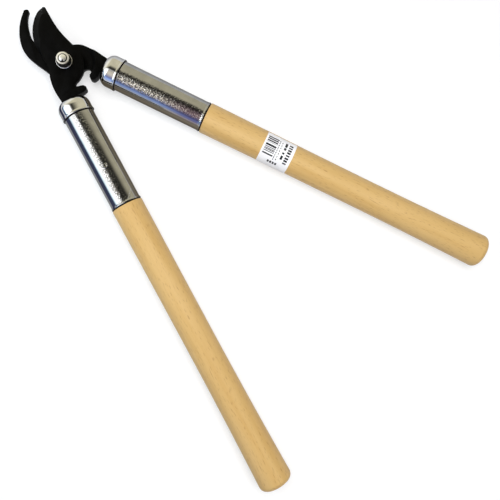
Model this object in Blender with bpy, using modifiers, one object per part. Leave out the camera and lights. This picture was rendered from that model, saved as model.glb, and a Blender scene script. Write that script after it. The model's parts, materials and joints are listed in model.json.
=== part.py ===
"""Bypass loppers: two forged jaws that turn on one bolt, each on a ferruled wooden handle.

The tool lies flat with its jaws along +Y, a little open. The origin is on the floor, under the
middle of the tool's outline. Lengths are in metres and angles in radians.
"""
import math

import bmesh
import bpy
from mathutils import Vector

MM = 0.001

# Clearances
FIT_GAP = 0.3 * MM
LAP_GAP = 0.3 * MM

# Layout: each handle's axis runs beside the pivot, turned out from the centre line
HALF_SPREAD = math.radians(18.3)
AXIS_OFFSET = 13.0 * MM
CAP_FRONT = 36.4 * MM

# Forgings
PLATE_THICKNESS = 5.0 * MM
LAP_RADIUS = 27.0 * MM
SHOULDER_LEAN = 5.0 * MM
EDGE_BEVEL = 7.0 * MM
EDGE_HEEL_RADIUS = 20.0 * MM
EDGE_TAPER = 16.0 * MM
TIP_TAPER = 5.0 * MM
TIP_LENGTH = 9.0 * MM
TIP_THICKNESS = 1.0 * MM
TANG_WIDTH = 12.0 * MM
TANG_THICKNESS = 7.0 * MM
TANG_LENGTH = 90.0 * MM
TANG_ROOT = 6.0 * MM

# Pivot hardware, M8
BOLT_RADIUS = 4.0 * MM
BOLT_HEAD_FLATS = 13.0 * MM
BOLT_HEAD_HEIGHT = 5.3 * MM
BOLT_END_LENGTH = 1.6 * MM
BOLT_END_CHAMFER = 0.8 * MM
NUT_FLATS = 13.0 * MM
NUT_HEIGHT = 6.6 * MM
NUT_CHAMFER = 1.0 * MM
NUT_TURN = math.radians(43.0)
WASHER_RADIUS = 8.0 * MM
WASHER_THICKNESS = 1.6 * MM

# Ferrule tube and its drawn cap
TUBE_RADIUS = 15.45 * MM
TUBE_WALL = 1.0 * MM
LEFT_TUBE_LENGTH = 109.5 * MM
RIGHT_TUBE_LENGTH = 103.4 * MM
LIP_FLARE = 0.6 * MM
LIP_LENGTH = 2.5 * MM
CAP_WALL = 0.75 * MM
CAP_LENGTH = 17.5 * MM
CAP_ROUNDING = 9.0 * MM
CAP_RIM_FLARE = 0.4 * MM
CAP_RIM_LENGTH = 2.5 * MM

# Ferrule pin, driven from one face through tube, wood and tang
PIN_RADIUS = 2.0 * MM
PIN_LENGTH = 26.0 * MM
PIN_POINT = 2.5 * MM
PIN_DISTANCE = 114.2 * MM
PIN_HEAD_RADIUS = 2.7 * MM
PIN_HEAD_HEIGHT = 1.0 * MM

# Turned wooden handle
HANDLE_LENGTH = 440.6 * MM
WOOD_START_RADIUS = 16.2 * MM
WOOD_WAIST_RADIUS = 15.9 * MM
WOOD_BUTT_RADIUS = 17.7 * MM
WOOD_WAIST_AT = 0.49
WOOD_START_ROUNDING = 0.8 * MM
BUTT_ROUNDING = 6.0 * MM

# Paper label on the right handle
LABEL_DISTANCE = 215.3 * MM
LABEL_LENGTH = 32.8 * MM
LABEL_THICKNESS = 0.3 * MM
LABEL_OUTER_ANGLE = math.radians(55.0)
LABEL_INNER_ANGLE = math.radians(108.0)

# Facets
ROUND_STEPS = 48
SMALL_STEPS = 24
OUTLINE_STEPS = 4
ARC_STEPS = 5
WOOD_RINGS = 12
LABEL_COLUMNS = 14
WELD = 0.001 * MM

# Worked out from the driving dimensions
LEFT = -1
RIGHT = 1
LAYER_TOP = PLATE_THICKNESS + LAP_GAP / 2
SHOULDER = CAP_FRONT - FIT_GAP
CAP_INNER_RADIUS = TUBE_RADIUS + FIT_GAP
CAP_RADIUS = CAP_INNER_RADIUS + CAP_WALL
TUBE_FRONT = CAP_FRONT + CAP_ROUNDING + FIT_GAP
TUBE_LENGTHS = {LEFT: LEFT_TUBE_LENGTH, RIGHT: RIGHT_TUBE_LENGTH}
HANDLE_END = CAP_FRONT + HANDLE_LENGTH
SWELL_START = TUBE_FRONT + LEFT_TUBE_LENGTH
SWELL_END = HANDLE_END - BUTT_ROUNDING
SPIGOT_RADIUS = TUBE_RADIUS - TUBE_WALL - FIT_GAP
BORE_RADIUS = BOLT_RADIUS + FIT_GAP
AXIS_HEIGHT = max(WOOD_BUTT_RADIUS, WOOD_START_RADIUS, CAP_RADIUS + CAP_RIM_FLARE)

# Corner kinds of an outline's points
ROUND = 'AUTO'
SHARP = 'VECTOR'


def handle_point(side, along, out):
    """Place a point given along a handle's axis and outwards from it, seen from above."""
    x = (AXIS_OFFSET + out) * math.cos(HALF_SPREAD) + along * math.sin(HALF_SPREAD)
    y = (AXIS_OFFSET + out) * math.sin(HALF_SPREAD) - along * math.cos(HALF_SPREAD)
    return side * x, y


def jaw_outline(points):
    """Scale a jaw's points, written in millimetres from the pivot."""
    return [(x * MM, y * MM, kind) for x, y, kind in points]


def shank_outline(side, outer_edge, lug):
    """Run down a shank's outer edge, across its shoulder and back up round its stop lug.

    Points are millimetres forward of the shoulder and outwards from the handle's axis.
    """
    points = [(fore, out, ROUND) for fore, out in outer_edge]
    points += [(0.0, outer_edge[-1][1] - 0.5, SHARP), (0.0, lug[0][1] + 1.0, SHARP)]
    points += [(fore, out, ROUND) for fore, out in lug]
    return [(*handle_point(side, SHOULDER - fore * MM, out * MM), kind) for fore, out, kind in points]


BLADE_JAW = [
    (-17.0, 4.0, ROUND), (-14.6, 9.0, ROUND), (-13.0, 15.0, ROUND), (-11.4, 23.0, ROUND),
    (-9.0, 30.5, ROUND), (-5.9, 37.4, ROUND), (0.7, 45.6, ROUND), (9.3, 52.0, ROUND),
    (15.0, 54.6, ROUND), (20.6, 55.8, ROUND), (25.0, 55.1, SHARP), (26.7, 53.3, SHARP),
    (24.7, 46.9, ROUND), (20.3, 32.2, ROUND), (18.4, 20.0, ROUND), (18.1, 10.0, ROUND),
    (17.2, -4.0, ROUND), (12.9, -14.0, ROUND), (5.7, -20.5, ROUND), (-2.2, -23.2, ROUND),
]
BLADE_OUTER_EDGE = [(30.0, 6.4), (23.0, 8.3), (16.1, 9.2), (10.4, 9.3), (5.0, 8.9)]
BLADE_LUG = [(0.4, -16.8), (1.4, -19.2), (3.4, -20.1), (5.6, -19.0), (7.0, -16.4), (7.6, -13.2),
             (9.0, -11.6)]

HOOK_JAW = [
    (18.5, 8.4, ROUND), (14.2, 15.2, ROUND), (7.0, 20.4, ROUND), (-1.0, 24.4, ROUND),
    (-5.4, 30.0, ROUND), (-5.9, 39.0, ROUND), (-1.5, 48.6, ROUND), (6.4, 58.0, ROUND),
    (12.2, 61.7, SHARP), (13.1, 63.3, SHARP), (12.1, 64.8, SHARP), (9.8, 66.0, SHARP),
    (0.2, 61.0, ROUND), (-8.3, 54.5, ROUND), (-17.3, 43.3, ROUND), (-21.1, 33.5, ROUND),
    (-21.2, 21.5, ROUND), (-19.7, 10.4, ROUND), (-17.8, -2.2, ROUND), (-13.0, -13.6, ROUND),
    (-4.4, -19.4, ROUND), (3.4, -19.5, ROUND), (8.7, -18.4, ROUND),
]
HOOK_OUTER_EDGE = [(33.2, 10.1), (27.5, 11.8), (19.1, 11.2), (11.8, 10.5), (4.4, 9.4)]
HOOK_LUG = [(0.4, -13.4), (1.8, -16.2), (4.0, -17.3), (6.3, -16.8), (7.7, -14.8), (8.6, -12.2),
            (9.4, -9.8), (11.8, -7.9)]
JAW_REACH = max(y for x, y, kind in HOOK_JAW) * MM
BLADE_TIP = Vector(next((x, y) for x, y, kind in BLADE_JAW if kind == SHARP)) * MM
BLADE_SPINE = Vector((2.0, 16.0)) * MM


def butt_reach():
    """Distance from the pivot back to the line that touches both handles' butts."""
    along = (HANDLE_END - BUTT_ROUNDING) * math.cos(HALF_SPREAD)
    across = (WOOD_BUTT_RADIUS - BUTT_ROUNDING - AXIS_OFFSET) * math.sin(HALF_SPREAD)
    return along + across + BUTT_ROUNDING


PIVOT = Vector((0.0, (butt_reach() - JAW_REACH) / 2, AXIS_HEIGHT))


def clear_scene():
    for old in list(bpy.data.objects):
        bpy.data.objects.remove(old, do_unlink=True)


def new_collection(name):
    collection = bpy.data.collections.new(name)
    bpy.context.scene.collection.children.link(collection)
    return collection


clear_scene()
PARTS = new_collection("bypass_loppers")
CUTTERS = new_collection("cutters")


def material(name, colour, roughness, metallic):
    finish = bpy.data.materials.new(name)
    finish.use_nodes = True
    shader = finish.node_tree.nodes["Principled BSDF"]
    shader.inputs["Base Color"].default_value = (*colour, 1.0)
    shader.inputs["Roughness"].default_value = roughness
    shader.inputs["Metallic"].default_value = metallic
    return finish


BLACK_STEEL = material("blackened_forged_steel", (0.012, 0.012, 0.013), 0.5, 0.6)
ZINC = material("zinc_plated_steel", (0.75, 0.75, 0.74), 0.3, 1.0)
PLATED = material("bright_plated_steel", (0.72, 0.73, 0.74), 0.12, 1.0)
BEECH = material("turned_beech", (0.74, 0.50, 0.21), 0.5, 0.0)
PAPER = material("white_paper", (0.88, 0.88, 0.86), 0.6, 0.0)


def add_object(name, data, parent, location=(0, 0, 0), turn=(0, 0, 0), finish=None):
    piece = bpy.data.objects.new(name, data)
    piece.parent = parent
    piece.location = location
    piece.rotation_euler = turn
    if finish:
        data.materials.append(finish)
        PARTS.objects.link(piece)
    else:
        piece.hide_render = True
        piece.display_type = 'WIRE'
        CUTTERS.objects.link(piece)
    return piece


def add_empty(name, parent, location, turn=(0, 0, 0)):
    empty = bpy.data.objects.new(name, None)
    empty.parent = parent
    empty.location = location
    empty.rotation_euler = turn
    PARTS.objects.link(empty)
    return empty


def join(piece, other, operation):
    boolean = piece.modifiers.new(other.name, 'BOOLEAN')
    boolean.object = other
    boolean.operation = operation
    weld = piece.modifiers.new(other.name + "_weld", 'WELD')
    weld.merge_threshold = WELD


def primitive(name, build):
    mesh = bpy.data.meshes.new(name)
    shape = bmesh.new()
    build(shape)
    shape.to_mesh(mesh)
    shape.free()
    return mesh


def prism(name, radius, height, sides):
    """An upright prism or cylinder, centred on its own origin."""
    return primitive(name, lambda shape: bmesh.ops.create_cone(
        shape, cap_ends=True, segments=sides, radius1=radius, radius2=radius, depth=height))


def hexagon(name, flats, height):
    """A hexagonal prism of a given width across its flats."""
    return prism(name, flats / 2 / math.cos(math.pi / 6), height, 6)


def block(name, size):
    """A box, centred on its own origin."""
    mesh = primitive(name, lambda shape: bmesh.ops.create_cube(shape, size=1.0))
    for vertex in mesh.vertices:
        vertex.co = [value * length for value, length in zip(vertex.co, size)]
    return mesh


def turned(name, profile, parent, location=(0, 0, 0), turn=(0, 0, 0), finish=None,
           closed=False, steps=ROUND_STEPS):
    """Turn a profile of (radius, height) points round the object's own Z axis."""
    mesh = bpy.data.meshes.new(name)
    edges = [(at, at + 1) for at in range(len(profile) - 1)]
    if closed:
        edges.append((len(profile) - 1, 0))
    mesh.from_pydata([(radius, 0.0, height) for radius, height in profile], edges, [])
    piece = add_object(name, mesh, parent, location, turn, finish)
    screw = piece.modifiers.new("turn", 'SCREW')
    screw.steps = steps
    screw.render_steps = steps
    screw.use_merge_vertices = True
    screw.merge_threshold = WELD
    screw.use_smooth_shade = True
    return piece


def arc(centre, radius, start, end, steps=ARC_STEPS):
    """Points of a circular arc in a turned profile, from one angle to another in degrees."""
    angles = [math.radians(start + (end - start) * at / steps) for at in range(steps + 1)]
    return [(centre[0] + radius * math.cos(a), centre[1] + radius * math.sin(a)) for a in angles]


def plate(name, outline, half_thickness):
    """A flat outline made solid, lying in its own XY plane."""
    curve = bpy.data.curves.new(name, 'CURVE')
    curve.dimensions = '2D'
    curve.fill_mode = 'BOTH'
    curve.extrude = half_thickness
    curve.resolution_u = OUTLINE_STEPS
    spline = curve.splines.new('BEZIER')
    spline.bezier_points.add(len(outline) - 1)
    spline.use_cyclic_u = True
    for knot, (x, y, kind) in zip(spline.bezier_points, outline):
        knot.co = (x, y, 0.0)
        knot.handle_left_type = kind
        knot.handle_right_type = kind
    guide = bpy.data.objects.new(name + "_outline", curve)
    CUTTERS.objects.link(guide)
    bpy.context.view_layer.update()
    graph = bpy.context.evaluated_depsgraph_get()
    mesh = bpy.data.meshes.new_from_object(guide.evaluated_get(graph))
    bpy.data.objects.remove(guide, do_unlink=True)
    shape = bmesh.new()
    shape.from_mesh(mesh)
    bmesh.ops.remove_doubles(shape, verts=shape.verts, dist=WELD)
    bmesh.ops.recalc_face_normals(shape, faces=shape.faces)
    for up in (1.0, -1.0):
        cap = [face for face in shape.faces if face.normal.z * up > 0.9]
        bmesh.ops.dissolve_faces(shape, faces=cap)
    shape.to_mesh(mesh)
    shape.free()
    mesh.materials.clear()
    return mesh


def grind_edge(mesh):
    """Slope the blade's cutting side from its upper face down to a knife edge on its lower face."""
    shape = bmesh.new()
    shape.from_mesh(mesh)
    everything = shape.verts[:] + shape.edges[:] + shape.faces[:]
    bmesh.ops.bisect_plane(shape, geom=everything, plane_co=(0, 0, 0), plane_no=(0, 0, 1), dist=WELD)
    shape.normal_update()
    spine = BLADE_TIP - BLADE_SPINE
    forward = spine.normalized()
    tip_start = BLADE_TIP - forward * TIP_LENGTH
    moves = {}
    for vertex in shape.verts:
        place = vertex.co.xy
        from_tip = (place - BLADE_TIP).length
        past_heel = place.length - EDGE_HEEL_RADIUS
        cutting_side = spine.cross(place - BLADE_SPINE) > 0
        if vertex.co.z > 0.5 * PLATE_THICKNESS and place.y > 0 and cutting_side and past_heel > 0:
            share = min(1.0, from_tip / TIP_TAPER, past_heel / EDGE_TAPER)
            moves[vertex] = vertex.normal.xy.normalized() * EDGE_BEVEL * share
    for vertex, move in moves.items():
        vertex.co.xy -= move
    everything = shape.verts[:] + shape.edges[:] + shape.faces[:]
    bmesh.ops.bisect_plane(shape, geom=everything, plane_co=(*tip_start, 0.0), plane_no=(*forward, 0.0),
                           dist=WELD)
    for vertex in shape.verts:
        past = (vertex.co.xy - tip_start).dot(forward) / TIP_LENGTH
        if vertex.co.z > 0.5 * PLATE_THICKNESS and past > 0:
            vertex.co.z -= min(past, 1.0) * (PLATE_THICKNESS - TIP_THICKNESS)
    shape.normal_update()
    sloped = [face for face in shape.faces if abs(face.normal.z) < 0.9]
    bmesh.ops.triangulate(shape, faces=sloped)
    shape.to_mesh(mesh)
    shape.free()


def lap_outline():
    """The ground that the other forging sweeps: all of the jaw side and a disc round the pivot."""
    reach = 2 * JAW_REACH
    corners = [(reach, reach), (-reach, reach)]
    for at in range(SMALL_STEPS + 1):
        angle = math.pi + math.pi * at / SMALL_STEPS
        corners.append((LAP_RADIUS * math.cos(angle), LAP_RADIUS * math.sin(angle)))
    return [(x, y, SHARP) for x, y in corners]


def make_forging(name, half, side, outline, layer, edge, lean):
    """A jaw with its shank and tang: one layer at the pivot, full thickness at the handle.

    The shoulder between the two leans outwards by a given distance over one layer.
    """
    mesh = plate(name, outline, LAYER_TOP)
    if edge:
        grind_edge(mesh)
    forging = add_object(name, mesh, half, finish=BLACK_STEEL)
    lap_height = LAYER_TOP + LAP_GAP
    lap = add_object(name + "_lap", plate(name + "_lap", lap_outline(), lap_height), half)
    lap.location.z = -layer * (lap_height - LAP_GAP / 2)
    for vertex in lap.data.vertices:
        if vertex.co.z * layer < 0:
            vertex.co.x += side * lean * 2 * lap_height / LAYER_TOP
    join(forging, lap, 'DIFFERENCE')
    length = TANG_LENGTH + TANG_ROOT
    middle = SHOULDER - TANG_ROOT + length / 2
    bar = block(name + "_tang", (TANG_WIDTH, length, TANG_THICKNESS))
    tang = add_object(name + "_tang", bar, half)
    tang.location = (*handle_point(side, middle, 0.0), 0.0)
    tang.rotation_euler.z = side * HALF_SPREAD
    join(forging, tang, 'UNION')
    drill = prism(name + "_bore", BORE_RADIUS, 6 * LAYER_TOP, SMALL_STEPS)
    join(forging, add_object(name + "_bore", drill, half), 'DIFFERENCE')
    return forging


def make_washer(name, half, height):
    ring = [(WASHER_RADIUS, WASHER_THICKNESS), (WASHER_RADIUS, 0.0),
            (BORE_RADIUS, 0.0), (BORE_RADIUS, WASHER_THICKNESS)]
    turned(name, ring, half, (0, 0, height), finish=ZINC, closed=True, steps=SMALL_STEPS)


def make_pivot(half):
    """Bolt from below, a washer under its head and under the nut, and the nut on top."""
    head_washer_at = -LAYER_TOP - FIT_GAP - WASHER_THICKNESS
    nut_washer_at = LAYER_TOP + FIT_GAP
    head_top = head_washer_at - FIT_GAP
    nut_at = nut_washer_at + WASHER_THICKNESS + FIT_GAP
    bolt_end = nut_at + NUT_HEIGHT + BOLT_END_LENGTH
    make_washer("head_washer", half, head_washer_at)
    make_washer("nut_washer", half, nut_washer_at)

    overlap = BOLT_HEAD_HEIGHT / 2
    shank = [(0.0, bolt_end), (BOLT_RADIUS - BOLT_END_CHAMFER, bolt_end),
             (BOLT_RADIUS, bolt_end - BOLT_END_CHAMFER), (BOLT_RADIUS, head_top - overlap),
             (0.0, head_top - overlap)]
    bolt = turned("pivot_bolt", shank, half, finish=ZINC, steps=SMALL_STEPS)
    head = add_object("bolt_head", hexagon("bolt_head", BOLT_HEAD_FLATS, BOLT_HEAD_HEIGHT), half)
    head.location.z = head_top - BOLT_HEAD_HEIGHT / 2
    join(bolt, head, 'UNION')

    nut = add_object("pivot_nut", hexagon("pivot_nut", NUT_FLATS, NUT_HEIGHT), half, finish=ZINC)
    nut.location.z = nut_at + NUT_HEIGHT / 2
    nut.rotation_euler.z = NUT_TURN
    top_radius = 0.98 * NUT_FLATS / 2
    skirt_radius = 1.3 * NUT_FLATS / 2
    crown = [(0.0, NUT_HEIGHT), (top_radius, NUT_HEIGHT), (skirt_radius, NUT_HEIGHT - NUT_CHAMFER),
             (skirt_radius, -NUT_CHAMFER), (0.0, -NUT_CHAMFER)]
    join(nut, turned("nut_crown", crown, half, (0, 0, nut_at)), 'INTERSECT')
    thread = prism("nut_bore", BORE_RADIUS, 2 * NUT_HEIGHT, SMALL_STEPS)
    join(nut, add_object("nut_bore", thread, half, nut.location), 'DIFFERENCE')


def wood_radius(along):
    """Radius of the turned wood: a slight waist past the ferrule, then a swell to the butt."""
    share = (along - SWELL_START) / (SWELL_END - SWELL_START)
    if share < WOOD_WAIST_AT:
        end, part = WOOD_START_RADIUS, 1.0 - share / WOOD_WAIST_AT
    else:
        end, part = WOOD_BUTT_RADIUS, (share - WOOD_WAIST_AT) / (1.0 - WOOD_WAIST_AT)
    return WOOD_WAIST_RADIUS + (end - WOOD_WAIST_RADIUS) * part ** 2


def make_wood(name, axis, start):
    """The turned handle, from its rounded butt down to the spigot that fills the ferrule."""
    crown = WOOD_BUTT_RADIUS - BUTT_ROUNDING
    profile = [(0.0, HANDLE_END)]
    profile += arc((crown, SWELL_END), BUTT_ROUNDING, 90.0, 0.0)
    for at in range(1, WOOD_RINGS):
        along = SWELL_END + (start - SWELL_END) * at / WOOD_RINGS
        profile.append((wood_radius(along), along))
    profile += [
        (WOOD_START_RADIUS, start + WOOD_START_ROUNDING),
        (WOOD_START_RADIUS - WOOD_START_ROUNDING, start),
        (SPIGOT_RADIUS, start), (SPIGOT_RADIUS, TUBE_FRONT), (0.0, TUBE_FRONT),
    ]
    return turned(name, profile, axis, finish=BEECH)


def make_tube(name, axis, end):
    """The ferrule tube, with a slight flare where the wood comes out of it."""
    inner = TUBE_RADIUS - TUBE_WALL
    lip = TUBE_RADIUS + LIP_FLARE
    ring = [(lip, end), (lip, end - 0.4 * LIP_LENGTH), (TUBE_RADIUS, end - LIP_LENGTH),
            (TUBE_RADIUS, TUBE_FRONT), (inner, TUBE_FRONT), (inner, end)]
    return turned(name, ring, axis, finish=PLATED, closed=True)


def make_cap(name, axis):
    """The drawn cap that closes the ferrule: a domed front, a beaded rim and a slot for the tang."""
    back = CAP_FRONT + CAP_LENGTH
    face = CAP_FRONT + CAP_WALL
    rim = CAP_RADIUS + CAP_RIM_FLARE
    corner = (CAP_RADIUS - CAP_ROUNDING, CAP_FRONT + CAP_ROUNDING)
    profile = [(0.0, face)]
    profile += arc(corner, CAP_ROUNDING - CAP_WALL, -90.0, 0.0)
    profile += [(CAP_INNER_RADIUS, back), (rim, back), (rim, back - 0.4 * CAP_RIM_LENGTH),
                (CAP_RADIUS, back - CAP_RIM_LENGTH)]
    profile += arc(corner, CAP_ROUNDING, 0.0, -90.0)
    profile.append((0.0, CAP_FRONT))
    return turned(name, profile, axis, finish=PLATED)


def make_pin(name, axis, up):
    """A nail with a low domed head, standing upright through the ferrule with its head up or down."""
    seat = TUBE_RADIUS + FIT_GAP / 2
    top = seat + PIN_HEAD_HEIGHT
    foot = seat - PIN_LENGTH
    profile = [(0.0, top), (0.55 * PIN_HEAD_RADIUS, top - 0.12 * PIN_HEAD_HEIGHT),
               (PIN_HEAD_RADIUS, seat + 0.3 * PIN_HEAD_HEIGHT), (PIN_HEAD_RADIUS, seat),
               (PIN_RADIUS, seat), (PIN_RADIUS, foot + PIN_POINT), (0.0, foot)]
    upright = (-up * math.pi / 2, 0, 0)
    turned(name, profile, axis, (0, 0, PIN_DISTANCE), upright, ZINC, steps=SMALL_STEPS)
    depth = PIN_HEAD_HEIGHT + PIN_LENGTH + FIT_GAP
    hole = add_object(name + "_hole", prism("pin_hole", PIN_RADIUS + FIT_GAP, depth, SMALL_STEPS), axis)
    hole.location = (0, up * (top - depth / 2), PIN_DISTANCE)
    hole.rotation_euler = upright
    return hole


def make_handle(side_name, side, half, forging):
    """One handle: wood, ferrule tube, cap and pin, on an empty whose Z runs down the handle."""
    root = (*handle_point(side, 0.0, 0.0), 0.0)
    axis = add_empty(side_name + "_handle_axis", half, root, (math.pi / 2, 0, side * HALF_SPREAD))
    tube_end = TUBE_FRONT + TUBE_LENGTHS[side]
    wood = make_wood("handle_" + side_name, axis, tube_end + FIT_GAP)
    tube = make_tube("ferrule_" + side_name, axis, tube_end)
    cap = make_cap("ferrule_cap_" + side_name, axis)
    hole = make_pin("ferrule_pin_" + side_name, axis, -side)

    slot_size = (TANG_WIDTH + 2 * FIT_GAP, TANG_THICKNESS + 2 * FIT_GAP, TANG_LENGTH + FIT_GAP)
    slot = add_object("tang_slot_" + side_name, block("tang_slot", slot_size), axis)
    slot.location.z = SHOULDER + slot_size[2] / 2
    join(wood, slot, 'DIFFERENCE')
    join(cap, slot, 'DIFFERENCE')
    for drilled in (wood, tube, forging):
        join(drilled, hole, 'DIFFERENCE')
    return axis


def make_label(axis):
    """A paper label wrapped part of the way round the right handle."""
    mesh = primitive("paper_label", lambda shape: bmesh.ops.create_grid(
        shape, x_segments=LABEL_COLUMNS, y_segments=1, size=0.5))
    for vertex in mesh.vertices:
        part = vertex.co.x + 0.5
        angle = LABEL_OUTER_ANGLE - part * (LABEL_OUTER_ANGLE + LABEL_INNER_ANGLE)
        along = LABEL_DISTANCE + (vertex.co.y + 0.5) * LABEL_LENGTH
        radius = wood_radius(along) + FIT_GAP
        vertex.co = (radius * math.sin(angle), radius * math.cos(angle), along)
    label = add_object("paper_label", mesh, axis, finish=PAPER)
    sheet = label.modifiers.new("sheet", 'SOLIDIFY')
    sheet.thickness = LABEL_THICKNESS
    sheet.offset = 1.0


lopper = add_empty("lopper", None, PIVOT)
hook_half = add_empty("hook_half", lopper, (0, 0, 0))
blade_half = add_empty("blade_half", lopper, (0, 0, 0))

hook_outline = jaw_outline(HOOK_JAW)
hook_outline += reversed(shank_outline(RIGHT, HOOK_OUTER_EDGE, HOOK_LUG))
blade_outline = jaw_outline(BLADE_JAW)
blade_outline += reversed(shank_outline(LEFT, BLADE_OUTER_EDGE, BLADE_LUG))
counter_hook = make_forging("counter_hook", hook_half, RIGHT, hook_outline, -1, False, SHOULDER_LEAN)
cutting_blade = make_forging("cutting_blade", blade_half, LEFT, blade_outline, 1, True, 0.0)
make_pivot(hook_half)
make_handle("left", LEFT, blade_half, cutting_blade)
make_label(make_handle("right", RIGHT, hook_half, counter_hook))
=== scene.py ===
import json
import math

import bmesh
import bpy
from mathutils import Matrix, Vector


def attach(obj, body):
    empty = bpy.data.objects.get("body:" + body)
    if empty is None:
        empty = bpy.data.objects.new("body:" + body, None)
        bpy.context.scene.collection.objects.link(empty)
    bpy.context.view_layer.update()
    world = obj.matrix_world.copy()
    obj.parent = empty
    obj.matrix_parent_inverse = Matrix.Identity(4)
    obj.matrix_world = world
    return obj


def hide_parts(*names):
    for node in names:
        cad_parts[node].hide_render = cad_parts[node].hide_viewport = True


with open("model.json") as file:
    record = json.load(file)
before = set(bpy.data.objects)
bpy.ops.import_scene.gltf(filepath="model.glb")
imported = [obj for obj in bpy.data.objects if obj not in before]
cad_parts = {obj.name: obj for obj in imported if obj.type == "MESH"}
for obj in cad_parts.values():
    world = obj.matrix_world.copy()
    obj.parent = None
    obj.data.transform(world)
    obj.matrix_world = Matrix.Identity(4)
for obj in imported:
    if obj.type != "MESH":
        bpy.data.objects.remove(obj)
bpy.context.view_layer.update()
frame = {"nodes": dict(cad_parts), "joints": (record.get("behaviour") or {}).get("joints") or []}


# The two forgings
# The counter hook lies underneath and the cutting blade on top. Each is one drop forging of carbon
# steel: jaw, boss, shank, stop lug and tang. The blade is ground to an edge on its upper side, and both
# are blackened hot in oil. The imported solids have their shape, so copies of them get their edges eased.

MM = 0.001
EASED_EDGE = 0.6                      # mm, the radius that tumbling leaves on an edge
SHARP_TURN, CUTTING_TURN = 35, 100    # degrees; an edge between the two is eased, a sharper one cuts
FLAT_TURN = 1.0                       # degrees; faces that meet at less than this become one
FORGING_WELD = 0.005                  # mm; corners nearer than this become one
DIE_WAVE, SCALE_PIT = 8.0, 1.0        # mm, the sizes of the oxide's two patterns
WAVE_DEPTH, PIT_DEPTH = 0.6, 0.1      # mm


def linear(hex_colour):
    """Linear red, green, blue and alpha of an sRGB hex colour."""
    channels = [int(hex_colour[at:at + 2], 16) / 255 for at in (0, 2, 4)]
    return [c / 12.92 if c <= 0.04045 else ((c + 0.055) / 1.055) ** 2.4 for c in channels] + [1.0]


def add_node(material, kind, inputs=None, stops=(), **settings):
    """Adds a node to a material or world; an input is a value, or another node's socket to link."""
    tree = material.node_tree
    node = tree.nodes.new("ShaderNode" + kind)
    for name, value in settings.items():
        setattr(node, name, value)
    for name, value in (inputs or {}).items():
        if isinstance(value, bpy.types.NodeSocket):
            tree.links.new(value, node.inputs[name])
        else:
            node.inputs[name].default_value = value
    if stops:
        elements = node.color_ramp.elements
        while len(elements) < len(stops):
            elements.new(1.0)
        for element, (place, hex_colour) in zip(elements, stops):
            element.position = place
            element.color = linear(hex_colour)
    return node


def new_material(name, **values):
    """A material with one Principled shader, whose plain values are set on its own sockets."""
    material = bpy.data.materials.new(name)
    material.use_nodes = True
    shader = material.node_tree.nodes["Principled BSDF"]
    for socket, value in values.items():
        shader.inputs[socket.replace("_", " ")].default_value = value
    return material, shader


def link(material, shader, outputs):
    """Links other nodes' outputs to a shader's sockets, by the sockets' names."""
    for socket, output in outputs.items():
        material.node_tree.links.new(output, shader.inputs[socket])


def pick(piece):
    """Selects one piece alone and makes it active."""
    bpy.ops.object.select_all(action="DESELECT")
    piece.select_set(True)
    bpy.context.view_layer.objects.active = piece


def smooth(piece, angle):
    """Smooths a piece's shading across every edge that turns less than an angle in degrees."""
    pick(piece)
    bpy.ops.object.shade_smooth_by_angle(angle=math.radians(angle))


def eased_forging(name, node):
    """A merged copy of a packed forging with its edges rounded over, apart from the cutting edge."""
    piece = bpy.data.objects.new(name, frame["nodes"][node].data.copy())
    bpy.context.scene.collection.objects.link(piece)
    piece.data.materials.clear()
    pick(piece)
    bpy.ops.object.mode_set(mode="EDIT")
    bpy.ops.mesh.select_all(action="SELECT")
    bpy.ops.mesh.remove_doubles(threshold=FORGING_WELD * MM)
    bpy.ops.mesh.dissolve_limited(angle_limit=math.radians(FLAT_TURN))
    shape = bmesh.from_edit_mesh(piece.data)
    for edge in shape.edges:
        turn = math.degrees(edge.calc_face_angle(0.0))
        edge.select_set(SHARP_TURN < turn < CUTTING_TURN)
    bmesh.update_edit_mesh(piece.data)
    bpy.ops.mesh.bevel(offset=EASED_EDGE * MM, segments=2, affect="EDGES", clamp_overlap=True)
    bpy.ops.object.mode_set(mode="OBJECT")
    smooth(piece, SHARP_TURN)
    return piece


# Black oxide on forged carbon steel, still oily. The eye sees a near-black satin with faint scale pits
# of about 1 mm and slow unevenness of about 8 mm from the dies, and hardly any colour.
black_oxide, shader = new_material("black_oxide_forged_steel", Specular_IOR_Level=0.06)
place = add_node(black_oxide, "TexCoord").outputs["Object"]
die_waves = add_node(black_oxide, "TexNoise", {
    "Vector": place, "Scale": 1 / (DIE_WAVE * MM), "Detail": 2.0}).outputs["Fac"]
scale_pits = add_node(black_oxide, "TexNoise", {
    "Vector": place, "Scale": 1 / (SCALE_PIT * MM), "Detail": 3.0, "Roughness": 0.6}).outputs["Fac"]
tone = add_node(black_oxide, "ValToRGB", {"Fac": die_waves}, [(0.35, "010101"), (0.7, "050505")])
satin = add_node(black_oxide, "MapRange", {
    "Value": scale_pits, "From Min": 0.3, "From Max": 0.7, "To Min": 0.42, "To Max": 0.6})
waves = add_node(black_oxide, "Bump", {
    "Height": die_waves, "Strength": 0.25, "Distance": WAVE_DEPTH * MM})
pits = add_node(black_oxide, "Bump", {
    "Height": scale_pits, "Strength": 0.2, "Distance": PIT_DEPTH * MM, "Normal": waves.outputs["Normal"]})
link(black_oxide, shader, {"Base Color": tone.outputs["Color"], "Roughness": satin.outputs["Result"],
                           "Normal": pits.outputs["Normal"]})

for name, node, body in (("hook_forging", "counter_hook", "hook_half"),
                         ("blade_forging", "cutting_blade", "blade_half")):
    forging = eased_forging(name, node)
    forging.data.materials.append(black_oxide)
    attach(forging, body)
    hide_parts(node)


# The pivot bolt, nut and washers
# An M8 bolt comes up from below through both forgings, with a plain washer at each end and a nut on top.
# They are zinc plated steel. The bolt's end is domed, and one chisel mark in it keeps the nut from turning.

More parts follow.
